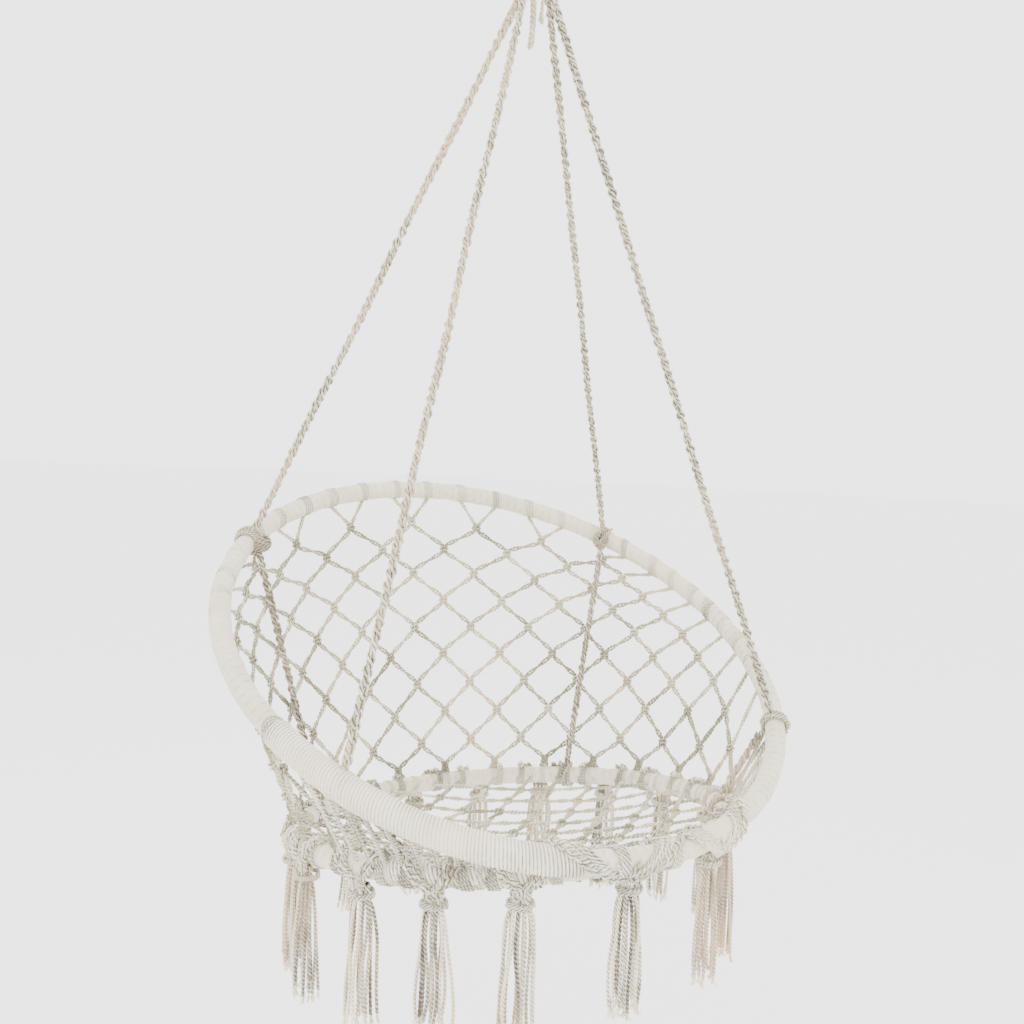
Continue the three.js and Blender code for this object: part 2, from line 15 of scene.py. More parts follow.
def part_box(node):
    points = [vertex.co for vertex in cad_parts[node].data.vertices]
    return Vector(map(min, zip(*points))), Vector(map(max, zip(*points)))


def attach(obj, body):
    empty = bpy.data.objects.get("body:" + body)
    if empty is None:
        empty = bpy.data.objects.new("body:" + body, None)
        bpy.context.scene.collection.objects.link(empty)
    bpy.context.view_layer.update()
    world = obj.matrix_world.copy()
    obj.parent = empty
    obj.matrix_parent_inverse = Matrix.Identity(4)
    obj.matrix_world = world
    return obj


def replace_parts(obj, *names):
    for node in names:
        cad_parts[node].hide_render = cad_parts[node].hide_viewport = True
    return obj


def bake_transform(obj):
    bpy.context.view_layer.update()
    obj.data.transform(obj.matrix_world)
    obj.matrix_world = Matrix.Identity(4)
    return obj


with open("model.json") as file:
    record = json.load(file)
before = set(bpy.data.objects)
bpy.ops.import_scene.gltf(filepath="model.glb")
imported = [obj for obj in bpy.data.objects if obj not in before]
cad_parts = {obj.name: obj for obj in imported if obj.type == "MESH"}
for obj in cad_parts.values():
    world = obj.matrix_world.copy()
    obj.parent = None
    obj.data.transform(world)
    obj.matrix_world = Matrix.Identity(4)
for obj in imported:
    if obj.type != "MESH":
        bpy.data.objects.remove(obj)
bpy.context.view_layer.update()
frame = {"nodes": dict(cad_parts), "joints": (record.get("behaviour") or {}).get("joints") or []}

rng = np.random.default_rng(7)
MM = 0.001
RIGHT, REAR, UP = np.eye(3)

# Camera, placed from the middle of the seat ring
CAMERA_FROM_SEAT = Vector((-0.698, -1.152, 0.506))
CAMERA_TURN = (-30.5, 3.8, 2.48)  # azimuth, elevation and roll, in degrees
CAMERA_LENS = 35.16

# Rings: radius to the middle of the tube, tilt, radius of the cotton sleeve and of the cord bound over
# it, the degrees between which it is bound, and the pitch of its turns
SEAT = {"radius": 0.2875, "tilt": -9.5, "wrap": 0.013, "binding": 0.0155,
        "bound": (208, 248), "pitch": 0.0046}
BACK = {"radius": 0.3875, "tilt": 28.0, "wrap": 0.0135, "binding": 0.017,
        "bound": (200, 256), "pitch": 0.0041}
SLEEVE_SIDES, SLEEVE_STEP = 40, 0.0022
TAPE_PITCH, TAPE_STEP, TAPE_FALL = 0.013, 0.00055, 0.00045  # each turn's edge rises, then the tape sinks
WINDING_SIDES, WINDING_STEPS = 36, 7  # points round the ring, and steps along it for each turn
WINDING_LEAN, WINDING_RIB = 0.0035, 0.0018

# Ropes: ring angle and seat angle of each tie
ROPES = {
    "back_left": (142, 139),
    "front_left": (215.5, 215.5),
    "back_right": (38, 41),
    "front_right": (-35.5, -35.5),
}
ROPE_WIDTH = 0.0130
ROPE_PITCH, BRAID_PITCH = 0.048, 0.034
TIE_TURNS = 3
TIE_CORD = 0.0056
TIE_KNOT_LEANS = (-1.1, -0.3, 0.4, 1.2)  # the turns of the knots inside the back ring's rear ties
ROPE_END = 0.012  # a CAD rope's end is the middle of its last points, this far in height
STEEL_MIDDLE, STEEL_RADIUS = -0.032, 0.036  # the hanging ring's height, and radius to its wire

# Cord
GRAIN = 100  # the yarn's pattern, for each metre of cord
CREVICE_SHADE = 0.75  # how much painted shade darkens cord between its plies
CREVICE_SHADE_TOP = 0.3  # how far out on a ply that painted shade starts, from -1 to 1
PLY_SHARE = {2: 0.27, 3: 0.245}  # by number of plies: a ply's radius, as a share of its cord's width
STRAND_SHARE, STRAND_DEPTH, STRAND_TWIST = 0.48, 0.42, 0.45  # a plait's strand: width, weave, ply pitch
PLAIT_ROLL, ROLL_WAVE = 0.9, 0.21  # a plait turns about its length: radians, metres
FRAY_PLIES, FRAY_SPREAD, FRAY_RADIUS = 9, 0.17, 0.00075

# Nets. The back net is a lattice of knots; places across it are counted in half columns from its middle.
NET_CORD = 0.0044
NET_TWIST = 0.012
KNOT_UNIT = 0.00114  # the knots' routes are written in this unit, in metres
NET_ROWS = 9
TOP_HALF = 6  # the straight top edge reaches this far each side
RING_STEP = 9.0  # degrees on the back ring for each half column of the top edge
SIDE_FIRST, SIDE_STEP = 29.3, 6.3  # beyond it, the right side's single cords: first angle and step
BOLD_LASHING, PLAIN_LASHING = (0.0017, 0.0032, 0.55), (0.0010, 0.0023, 0.1)  # height, cord, tone
BOLD_BELOW = 40  # the bolder lashings on the back ring are at the right, below this angle
GATHER_STEP = 8.2  # degrees on the seat ring for each half column
EYE_HALF = 0.0023  # how far the two cords of an edge part beside a knot
CROSS_LIFT = 0.0015  # and how far one passes over the other half way
NET_STRAY, SEAT_STRAY = 0.0018, 0.003  # how far knots stray from their places
SEAT_NET_REACH, SEAT_NET_MARGIN = 0.2745, 0.030  # the net's edge; its last knots are this far inside
SEAT_NET_SAG = 0.026
SEAT_SPACING = (0.080, 0.036)

# Tassels
TASSEL_COUNT, TASSEL_STRANDS = 16, 11
TASSEL_CORD, TASSEL_TWIST = 0.0049, 0.0105
NECK_DROP = 0.017
NECK_SIZE = (0.0150, 0.0070)
BRAID_REACH = 0.029
BRAID_WIDTHS = (0.0125, 0.0100)  # the lower layer, and the one over it
FANS = {13: (263, 9), 14: (284, 5.5)}  # tassel: middle and half width of its fan on the back ring
FAN_SHARES = (-1, -0.88, -0.76, -0.64, -0.3, 0.3, 0.64, 0.76, 0.88, 1)
FAN_OVER = 0.6  # the outer cords come over the ring's top, the others from its face
FAN_COURSE = ((130, 1.2), (100, 1.08), (70, 0.92), (42, 0.72), (16, 0.5),
              (-8, 0.3), (-32, 0.16))  # degrees round the tube, and share of the half width there
FACE_START = 3  # where the cords from the ring's face join that course


# ---- Curves

def unit(v):
    v = np.asarray(v, float)
    return v / np.maximum(np.linalg.norm(v, axis=-1, keepdims=True), 1e-12)


def turned(first, second, angle):
    """The first vector turned towards the second, by each angle in radians."""
    angle = np.asarray(angle, float)[..., None]
    return np.cos(angle) * first + np.sin(angle) * second


def about(value, spread):
    return value + rng.uniform(-spread, spread)


def lengths(path):
    return np.concatenate([[0], np.cumsum(np.linalg.norm(np.diff(path, axis=0), axis=1))])


def spaced(path, step):
    """The same line with evenly spaced points."""
    path = np.asarray(path, float)
    s = lengths(path)
    count = max(2, int(round(s[-1] / step)) + 1)
    at = np.linspace(0, s[-1], count)
    return np.stack([np.interp(at, s, path[:, i]) for i in range(3)], axis=1)


def spline(points, step=0.003):
    """A smooth line through the points (Catmull-Rom), evenly spaced."""
    p = np.asarray(points, float)
    p = np.vstack([2 * p[0] - p[1], p, 2 * p[-1] - p[-2]])
    t = np.linspace(0, 1, 9)[:-1, None]
    parts = []
    for a, b, c, d in zip(p[:-3], p[1:-2], p[2:-1], p[3:]):
        parts.append(0.5 * (2 * b + (c - a) * t + (2 * a - 5 * b + 4 * c - d) * t**2
                            + (3 * b - a - 3 * c + d) * t**3))
    return spaced(np.vstack(parts + [p[-2:-1]]), step)


def axes_along(path, reference):
    """Unit side and lift vectors along a line; the reference vector shows roughly where lift points."""
    tangent = unit(np.gradient(path, axis=0))
    reference = np.broadcast_to(np.asarray(reference, float), path.shape)
    lift = unit(reference - (reference * tangent).sum(1, keepdims=True) * tangent)
    return np.cross(tangent, lift), lift


def wobble(path, size, reference, wave):
    """A little slackness: the line strays by about size, but keeps its ends."""
    s = lengths(path)
    side, lift = axes_along(path, reference)
    hold = np.sqrt(np.clip(np.sin(np.pi * s / s[-1]), 0, 1))[:, None]
    a, b = rng.uniform(0, 2 * np.pi, 2)
    sway = np.sin(2 * np.pi * s / wave + a)[:, None]
    heave = np.sin(2 * np.pi * s / (1.3 * wave) + b)[:, None]
    return path + size * hold * (side * sway + lift * heave)


# ---- Meshes made of many tubes

def add_object(name, data):
    thing = bpy.data.objects.new(name, data)
    bpy.context.scene.collection.objects.link(thing)
    return thing


class Skein:
    """Collects tubes and grids, and makes one mesh of them."""

    def __init__(self):
        self.points, self.quads, self.quad_uv, self.tones = [], [], [], []
        self.tris, self.tri_uv = [np.zeros((0, 3), int)], [np.zeros((0, 2))]
        self.count = 0

    def grid(self, rings, tone, along, capped=True):
        """rings is (steps, sides, 3), closed round; along is each step's place in the yarn's pattern."""
        steps, sides, _ = rings.shape
        index = self.count + np.arange(steps * sides).reshape(steps, sides)
        after = np.roll(index, -1, axis=1)
        self.quads.append(np.stack([index[:-1], after[:-1], after[1:], index[1:]], -1).reshape(-1, 4))
        here, low, high = np.broadcast_arrays(np.arange(sides) / sides, along[:-1, None], along[1:, None])
        corners = [(low, here), (low, here + 1 / sides), (high, here + 1 / sides), (high, here)]
        self.quad_uv.append(np.stack([np.stack(c, -1) for c in corners], 2).reshape(-1, 2))
        self.points.append(rings.reshape(-1, 3))
        total = steps * sides
        if capped:
            ends = np.stack([rings[0].mean(0), rings[-1].mean(0)])
            self.points.append(ends)
            for cap, a, b in ((0, after[0], index[0]), (1, index[-1], after[-1])):
                self.tris.append(np.stack([np.full(sides, self.count + total + cap), a, b], -1))
            self.tri_uv.append(np.zeros((sides * 6, 2)))
            total += 2
        spread = np.broadcast_to(np.asarray(tone, float), (steps, sides)).ravel()
        self.tones.append(np.concatenate([spread, np.full(total - steps * sides, spread.mean())]))
        self.count += total

    def tube(self, path, radius, reference, sides=6, tone=0.5, crevice_shade=0.0):
        """A round strand; crevice is painted shade, darkening the side that faces away from the
        reference.
        """
        side, lift = axes_along(path, reference)
        turn = 2 * np.pi * np.arange(sides) / sides
        # painted shade: the strand's side away from the reference is darkened
        tone = tone + crevice_shade * np.clip(CREVICE_SHADE_TOP - np.sin(turn), 0, 1)[None, :]
        rings = path[:, None] + radius * turned(side[:, None], lift[:, None], turn)
        self.grid(rings, tone, lengths(path) * GRAIN)

    def laid(self, path, diameter, reference, pitch=NET_TWIST, plies=2, sides=6, tone=0.5, steps=7):
        """A cord of plies twisted round each other, with painted shade where they meet."""
        path = spaced(path, pitch / steps)
        side, lift = axes_along(path, reference)
        share = PLY_SHARE[plies]
        offset = diameter * (0.5 - share)
        start = rng.uniform(0, 2 * np.pi)
        for ply in range(plies):
            turn = start + 2 * np.pi * (lengths(path) / pitch + ply / plies)
            away = turned(side, lift, turn)
            self.tube(path + offset * away, share * diameter, away, sides, about(tone, 0.12), CREVICE_SHADE)

    def plait(self, path, width, reference, pitch=ROPE_PITCH, tone=0.5):
        """Three two-ply strands, plaited."""
        path = spaced(path, pitch / 26)
        side, lift = axes_along(path, reference)
        strand = STRAND_SHARE * width
        along = lengths(path)
        roll = PLAIT_ROLL * np.sin(2 * np.pi * along / ROLL_WAVE + rng.uniform(0, 6)) + rng.uniform(0, 3)
        flat, deep = turned(side, lift, roll), turned(lift, -side, roll)
        for third in range(3):
            turn = 2 * np.pi * (along / pitch + third / 3)
            across = 0.5 * (width - strand) * np.sin(turn)
            through = STRAND_DEPTH * strand * np.sin(2 * turn)
            line = path + across[:, None] * flat + through[:, None] * deep
            self.laid(line, strand, reference, pitch * STRAND_TWIST, sides=7, tone=about(tone, 0.15))

    def turns(self, centre, axis, outward, reach, count, spacing, cord, tone=0.5, lean=0.0):
        """Cord wound round a bar: a helix of count turns about axis, starting on the outward side."""
        axis, outward = unit(axis), unit(outward)
        across = np.cross(axis, outward)
        steps = int(20 * count)
        turn = np.linspace(0, 2 * np.pi * count, steps + 1)
        slide = spacing * (turn / (2 * np.pi) - count / 2) + lean * np.sin(turn)
        line = centre + slide[:, None] * axis + reach * turned(outward, across, turn)
        self.laid(line, cord, axis, tone=tone, pitch=0.010, steps=5, sides=5)

    def build(self, name, material, slot):
        """The piece, with the yarn's pattern as UV, and its tone, painted shade included, as a point
        attribute.
        """
        mesh = bpy.data.meshes.new(name)
        points = np.vstack(self.points).astype(np.float32)
        quads, tris = np.vstack(self.quads), np.vstack(self.tris)
        corners = np.concatenate([quads.ravel(), tris.ravel()]).astype(np.int32)
        sizes = np.repeat((4, 3), (len(quads), len(tris)))
        mesh.vertices.add(len(points))
        mesh.vertices.foreach_set("co", points.ravel())
        mesh.loops.add(len(corners))
        mesh.loops.foreach_set("vertex_index", corners)
        mesh.polygons.add(len(sizes))
        mesh.polygons.foreach_set("loop_start", (np.cumsum(sizes) - sizes).astype(np.int32))
        mesh.polygons.foreach_set("use_smooth", np.ones(len(sizes), bool))
        layer = mesh.uv_layers.new(name="grain")
        layer.data.foreach_set("uv", np.vstack(self.quad_uv + self.tri_uv).astype(np.float32).ravel())
        tone = mesh.attributes.new("tone", "FLOAT", "POINT")
        tone.data.foreach_set("value", np.concatenate(self.tones).astype(np.float32))
        mesh.update(calc_edges=True)
        mesh.validate()
        mesh.materials.append(material)
        return add_object(name, mesh)


# ---- Materials

class Shader:
    """A new material, and the nodes that feed its surface."""

    def __init__(self, name, values):
        self.material = bpy.data.materials.new(name)
        self.material.use_nodes = True
        self.tree = self.material.node_tree
        self.fill(values)

    def fill(self, values, node=None):
        """Sets inputs of a node, or of the surface: sockets are linked, colours get their alpha."""
        node = node or self.tree.nodes["Principled BSDF"]
        for key, value in values.items():
            if isinstance(value, bpy.types.NodeSocket):
                self.tree.links.new(value, node.inputs[key])
            else:
                node.inputs[key].default_value = (*value, 1) if isinstance(value, tuple) else value

    def add(self, kind, values, output=0, **settings):
        """A new node's output."""
        node = self.tree.nodes.new(f"ShaderNode{kind}")
        for key, value in settings.items():
            setattr(node, key, value)
        self.fill(values, node)
        return node.outputs[output]

    def maths(self, kind, *values):
        return self.add("Math", dict(enumerate(values)), operation=kind)

    def noise(self, scale, detail):
        place = self.add("TexCoord", {}, "Object")
        return self.add("TexNoise", {"Scale": scale, "Detail": detail, "Vector": place}, "Fac")

    def mix(self, factor, first, second):
        return self.add("Mix", {0: factor, 6: first, 7: second}, 2, data_type="RGBA")

    def relief(self, height, strength, distance):
        bump = self.add("Bump", {"Strength": strength, "Distance": distance, "Height": height})
        self.fill({"Normal": bump})


def cotton(name, light, dark, warm, fibres=7, grain=3.0):
    """Cotton yarn: fibres laid round each strand, with painted shade in the grooves between them, fuzz,
    slow changes of tone, and the tone attribute's random tone and painted shade.
    """
    yarn = Shader(name, {"Roughness": 0.9, "Sheen Weight": 0.25, "Sheen Roughness": 0.5,
                         "Specular IOR Level": 0.25})
    pattern = yarn.add("UVMap", {}, uv_map="grain")
    along, around = yarn.add("SeparateXYZ", {0: pattern}).node.outputs[:2]
    along = yarn.maths("MULTIPLY", along, grain * 2 * math.pi)
    around = yarn.maths("MULTIPLY", around, fibres * 2 * math.pi)
    stripe = yarn.maths("SINE", yarn.maths("ADD", along, around))
    fuzz, patches, drift = yarn.noise(1400, 2), yarn.noise(28, 3), yarn.noise(6, 2)
    tone = yarn.add("Attribute", {}, "Fac", attribute_name="tone")
    # painted shade: the colour darkens in the grooves between the fibre stripes
    depth = yarn.maths("MULTIPLY", yarn.maths("ADD", stripe, 1), 0.16)
    for source, weight in ((patches, 1.1), (tone, 1.4)):
        change = yarn.maths("MULTIPLY", yarn.maths("SUBTRACT", source, 0.5), weight)
        depth = yarn.maths("ADD", depth, change)
    shade = yarn.add("Clamp", {"Value": yarn.maths("ADD", depth, 0.18)})
    warmth = yarn.add("MapRange", {"Value": drift, "From Min": 0.45, "From Max": 0.72})
    yarn.fill({"Base Color": yarn.mix(warmth, yarn.mix(shade, light, dark), warm)})
    yarn.relief(yarn.maths("ADD", yarn.maths("MULTIPLY", stripe, 0.5), fuzz), 0.35, 0.0004)
    return yarn.material


def steel(name, colour, rough):
    """Brushed steel: a fine grain in its gloss, tint and relief."""
    metal = Shader(name, {"Metallic": 1.0})
    grain = metal.noise(220, 5)
    gloss = metal.add("MapRange", {"Value": grain, "To Min": rough - 0.08, "To Max": rough + 0.1})
    tint = metal.mix(grain, colour, tuple(0.86 * c for c in colour))
    metal.fill({"Roughness": gloss, "Base Color": tint})
    metal.relief(grain, 0.08, 0.0002)
    return metal.material


# Each cotton's light, dark and warm colours; the dark colour also gives the painted shade in crevices and
# grooves
SLEEVE_COTTON = cotton("sleeve_cotton", (0.76, 0.715, 0.565), (0.50, 0.44, 0.30), (0.70, 0.625, 0.47),
                       fibres=30, grain=6.0)
WINDING_COTTON = cotton("winding_cotton", (0.84, 0.80, 0.66), (0.19, 0.155, 0.09), (0.78, 0.70, 0.54),
                        fibres=24, grain=4.0)
ROPE_COTTON = cotton("rope_cotton", (0.77, 0.73, 0.575), (0.16, 0.13, 0.075), (0.64, 0.52, 0.36))
NET_COTTON = cotton("net_cotton", (0.82, 0.79, 0.60), (0.20, 0.18, 0.10), (0.70, 0.60, 0.41))
LASHING_COTTON = cotton("lashing_cotton", (0.90, 0.865, 0.72), (0.20, 0.165, 0.095), (0.82, 0.73, 0.55))
TASSEL_COTTON = cotton("tassel_cotton", (0.90, 0.83, 0.65), (0.055, 0.038, 0.018), (0.72, 0.54, 0.35))
RING_STEEL = steel("ring_steel", (0.34, 0.35, 0.37), rough=0.34)
ROD_STEEL = steel("rod_steel", (0.25, 0.26, 0.27), rough=0.5)


# ---- The two rings' own geometry

class Ring:
    """A ring of the chair. Angles round it are in degrees: 0 right, 90 to the rear, 270 in front."""

    def __init__(self, middle, spec):
        self.middle, self.spec, self.radius = middle, spec, spec["radius"]
        tilt = math.radians(spec["tilt"])
        self.fore = np.array([0, math.cos(tilt), math.sin(tilt)])
        self.normal = np.array([0, -math.sin(tilt), math.cos(tilt)])

    def out(self, degrees):
        return turned(RIGHT, self.fore, np.radians(degrees))

    def point(self, degrees):
        return self.middle + self.radius * self.out(degrees)

    def tangent(self, degrees):
        return self.out(np.add(degrees, 90))

    def bound(self, degrees):
        low, high = self.spec["bound"]
        turn = np.mod(degrees, 360)
        return (turn >= low) & (turn <= high)

    def skin(self, degrees):
        return np.where(self.bound(degrees), self.spec["binding"], self.spec["wrap"])

    def surface(self, degrees, around, lift=0.0):
        """A point on the ring's skin; around is 0 outwards, 90 up, 180 inwards and 270 down."""
        way = turned(self.out(degrees), self.normal, np.radians(around))
        return self.point(degrees) + (self.skin(degrees) + lift)[..., None] * way

    def tube(self, degrees, around, reach):
        """Rings of points for Skein.grid, this far from the middle of the tube; around is in radians."""
        spokes = turned(self.out(degrees)[:, None], self.normal, around)
        return self.point(degrees)[:, None] + reach[..., None] * spokes

    def wind(self, skein, degrees, outward, lift, **cord):
        """Turns of cord on the ring's skin."""
        reach = self.skin(degrees) + lift
        skein.turns(self.point(degrees), self.tangent(degrees), outward, reach, **cord)

    def degrees(self, length):
        return math.degrees(length / self.radius)


def joint_place(name):
    return np.array(next(j["pos_m"] for j in frame["joints"] if j["name"] == name), float)


def box_middle(node):
    low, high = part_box(node)
    return np.array((low + high) / 2)


seat_tilt = math.radians(SEAT["tilt"])
seat_fore = np.array([0, math.cos(seat_tilt), math.sin(seat_tilt)])
seat_middle = joint_place("seat_fold") + SEAT["radius"] * seat_fore
back_middle = box_middle("back_ring_rod")
back_middle[0] = seat_middle[0]
seat = Ring(seat_middle, SEAT)
back = Ring(back_middle, BACK)


# ---- Camera

def add_camera():
    lens = bpy.data.cameras.new("camera")
    lens.sensor_width = 36
    lens.lens = CAMERA_LENS
    camera = add_object("camera", lens)
    azimuth, elevation, roll = (math.radians(a) for a in CAMERA_TURN)
    toward = Vector((math.sin(azimuth) * math.cos(elevation),
                     -math.cos(azimuth) * math.cos(elevation), math.sin(elevation)))
    right = Vector((math.cos(azimuth), math.sin(azimuth), 0))
    up = toward.cross(right)
    rolled_right = math.cos(roll) * right + math.sin(roll) * up
    rolled_up = math.cos(roll) * up - math.sin(roll) * right
    turn = Matrix((rolled_right, rolled_up, toward)).transposed()
    place = Vector(seat_middle) + CAMERA_FROM_SEAT
    camera.matrix_world = Matrix.Translation(place) @ turn.to_4x4()
    bpy.context.scene.camera = camera


add_camera()


# ---- Tassels: free cord below a neck, and braids from the seat ring that carry it

def frayed_end(skein, end, heading, tone):
    """A small brush of loose plies at a strand's cut end."""
    for _ in range(FRAY_PLIES):
        way = unit(heading + rng.normal(0, FRAY_SPREAD, 3))
        tip = end + way * rng.uniform(0.006, 0.013)
        middle = end + heading * 0.003 + (tip - end) * 0.4 + rng.normal(0, 0.0004, 3)
        skein.tube(spline([end - 0.004 * heading, middle, tip]), FRAY_RADIUS, (1, 0.3, 0),
                   sides=4, tone=about(tone, 0.15))


def tassel_frame(index):
    """A tassel's pivot, the level way out from the chair there, and the way along the ring."""
    pivot = joint_place(f"tassel_{index:02d}_swing")
    outward = unit((pivot - seat_middle) * (1, 1, 0))
    return pivot, outward, np.cross(UP, outward)


def strand_line(pivot, outward, along, top, foot, length):
    """One strand: from the ring through the neck, then down to its end in a slack curve."""
    down = -UP
    neck = pivot + NECK_DROP * down
    points = [pivot + 0.002 * down + 0.8 * (along * top[0] + outward * top[1])]
    points.append(neck + 0.72 * (along * top[0] + outward * top[1]))
    sway = rng.uniform(-0.0035, 0.0035, 2)
    for share in (0.12, 0.35, 0.6, 0.82, 1.0):
        ease = math.sin(share * math.pi / 2)
        here = neck + down * (length - NECK_DROP) * share
        across = top[0] + (foot[0] - top[0]) * ease + sway[0] * math.sin(2 * math.pi * share)
        depth = top[1] + (foot[1] - top[1]) * ease + sway[1] * math.sin(math.pi * share)
        points.append(here + along * across + outward * depth)
    return spline(points, 0.004)


def add_tassel(index):
    body = f"tassel_{index:02d}"
    low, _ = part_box(body)
    pivot, outward, along = tassel_frame(index)
    full = pivot[2] - low[2] - 0.001

    centre_line = strand_line(pivot, outward, along, (0, 0), (0.001, 0.001), full)
    core = Skein()
    core.laid(centre_line, TASSEL_CORD, outward, TASSEL_TWIST, tone=0.3, steps=8)
    cord = core.build(f"{body}_cord", TASSEL_COTTON, "tassel_cord")
    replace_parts(cord, body)
    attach(cord, body)

    fringe = Skein()
    for strand in range(TASSEL_STRANDS):
        turn = 2 * math.pi * about(strand, 0.25) / TASSEL_STRANDS
        fill = rng.uniform(0.75, 1.0)
        top = (fill * NECK_SIZE[0] * math.cos(turn), fill * NECK_SIZE[1] * math.sin(turn))
        stray = 1.5 if strand == index % TASSEL_STRANDS else 1.0
        foot = (rng.uniform(0.014, 0.020) * stray * math.cos(turn),
                rng.uniform(0.008, 0.014) * stray * math.sin(turn))
        line = strand_line(pivot, outward, along, top, foot, full * rng.uniform(0.93, 1.0))
        tone = rng.uniform(0.0, 0.85)
        fringe.laid(line, TASSEL_CORD, outward, TASSEL_TWIST, tone=tone, steps=8)
        frayed_end(fringe, line[-1], unit(line[-1] - line[-3]), tone * 0.6)
    frayed_end(fringe, centre_line[-1], -UP, 0.4)
    strands = fringe.build(f"{body}_fringe", TASSEL_COTTON, "tassel_cord")
    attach(strands, body)

    add_swag(index, pivot, outward, along)
    if index in FANS:
        add_fan(index, pivot, outward, along)


def add_swag(index, pivot, outward, along):
    """Braids that wrap over the seat ring and come together at the tassel's neck."""
    x, y, _ = pivot - seat_middle
    angle = math.degrees(math.atan2(y / math.cos(seat_tilt), x))
    neck = pivot - NECK_DROP * UP
    swag = Skein()
    for side in (-1, 1):
        reach = BRAID_REACH * rng.uniform(0.9, 1.15)
        for layer, width in enumerate(BRAID_WIDTHS):
            points = []
            for share in np.linspace(0, 1, 8):
                shift = reach * (1 - 0.45 * layer) * math.cos(share * math.pi / 2) ** (0.8 + 0.5 * layer)
                degrees = angle + side * seat.degrees(shift + 0.005)
                around = 120 - 40 * layer - (165 - 40 * layer) * share
                points.append(seat.surface(degrees, around, 0.0040))
            points.append((points[-1] + neck) / 2 + outward * 0.003 + side * along * 0.002)
            points.append(neck + outward * 0.004)
            swag.plait(spline(points), width, outward, BRAID_PITCH)
        base = angle + side * seat.degrees(reach + 0.004)
        seat.wind(swag, base, seat.out(base), 0.0014,
                  count=3.5, spacing=0.0036, cord=0.0034, tone=0.55, lean=0.002)
    for lean, start in ((0.25, -1), (-0.25, 1)):
        swag.turns(neck + 0.002 * UP, unit(UP + lean * along), start * along, 0.0145,
                   count=1.3, spacing=0.004, cord=0.0048, tone=0.45)
    piece = swag.build(f"tassel_{index:02d}_braids", LASHING_COTTON, "cord_binding")
    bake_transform(piece)


def add_fan(index, pivot, outward, along):
    """Cords that come over the back ring and draw together above a tassel, clear of its swing."""
    middle, width = FANS[index]
    fan = Skein()
    knot = pivot + outward * 0.015 + 0.006 * UP
    for share in FAN_SHARES:
        course = FAN_COURSE if abs(share) > FAN_OVER else FAN_COURSE[FACE_START:]
        points = [back.surface(middle + width * share * spread, around, 0.0024)
                  for around, spread in course]
        points.append(knot + along * 0.008 * share + outward * 0.002)
        points.append(knot + along * 0.006 * share - outward * 0.006 - 0.006 * UP)
        fan.laid(spline(points), 0.0046, outward, tone=rng.uniform(0.1, 0.7))
    for side in (-1, 1):
        points = [back.surface(middle + side * (width + 1.5) * spread, around, 0.005)
                  for around, spread in FAN_COURSE]
        points.append(knot + outward * 0.005 - side * along * 0.003)
        fan.plait(spline(points), 0.0115, outward, BRAID_PITCH, tone=0.45)
    fan.turns(knot, unit(UP - 0.2 * along), along, 0.012,
              count=1.6, spacing=0.004, cord=0.0046, tone=0.4)
    piece = fan.build(f"tassel_{index:02d}_fan", LASHING_COTTON, "cord_binding")
    tuple(back.surface(middle, -60))
    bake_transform(piece)


for number in range(1, TASSEL_COUNT + 1):
    add_tassel(number)


# ---- Rope tails under the knots. Routes are in millimetres, from the middle line at the tail's top

TAILS = {  # width and route
    "left": (9.0, [(-7, -2, 8), (-7, -2, 0), (-7, -3, -22), (-8, -4, -44), (-10, -5, -62)]),
    "right": (4.6, [(7, -2, 8), (7, -2, 0), (6.5, -2.5, -9), (6, -3, -18), (5.5, -3.5, -26)]),
}


def add_tail(side):
    width, route = TAILS[side]
    width = width * MM
    _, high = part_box(f"rope_tail_{side}")
    line = spline([high[2] * UP + MM * np.array(p) for p in route], 0.002)
    core = Skein()
    core.laid(line, width, REAR, pitch=0.022, plies=3, sides=10, tone=0.6, steps=12)
    tail = core.build(f"rope_tail_{side}_rope", ROPE_COTTON, "rope")
    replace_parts(tail, f"rope_tail_{side}")
    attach(tail, "hitch")
    ends = Skein()
    for offset in ((0.002, 0, 0), (-0.002, 0.001, 0), (0, -0.002, 0)):
        frayed_end(ends, line[-1] + np.array(offset) + 0.006 * UP, -UP, 0.35)
    frays = ends.build(f"rope_tail_{side}_fray", ROPE_COTTON, "rope")
    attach(frays, "hitch")


for label in TAILS:
    add_tail(label)


# ---- Ring sleeves: smooth tape whose turns' edges are faint steps darkened with painted shade, and slanted ribs where cord is wound over it, with painted shade in their grooves

def add_sleeve(ring, name):
    low, high = ring.spec["bound"]
    start, end = math.radians(high), math.radians(low + 360)
    steps = int((end - start) * ring.radius / SLEEVE_STEP)
    along = np.linspace(start, end, steps + 1)
    around = 2 * np.pi * np.arange(SLEEVE_SIDES) / SLEEVE_SIDES
    s = along[:, None] * ring.radius
    turn = (s / TAPE_PITCH + around[None, :] / (2 * np.pi) + 0.25 * np.sin(5 * along)[:, None]) % 1
    ridge = TAPE_STEP * np.clip(turn / 0.16, 0, 1) - TAPE_FALL * turn
    slow = 0.0004 * np.sin(23 * along)[:, None] * np.cos(around)[None, :]
    slow = slow + 0.0003 * np.sin(61 * along + 1)[:, None]
    reach = ring.spec["wrap"] + ridge + slow - 0.0003
    degrees = np.degrees(along)
    skein = Skein()
    # painted shade: a darker line at the foot of each tape turn's raised edge
    edge_shade = 0.5 + 0.55 * np.exp(-(((turn + 0.5) % 1 - 0.5) / 0.05) ** 2)
    skein.grid(ring.tube(degrees, around, reach), edge_shade, (along - start) * ring.radius * GRAIN)
    return skein.build(name, SLEEVE_COTTON, "ring_wrap")


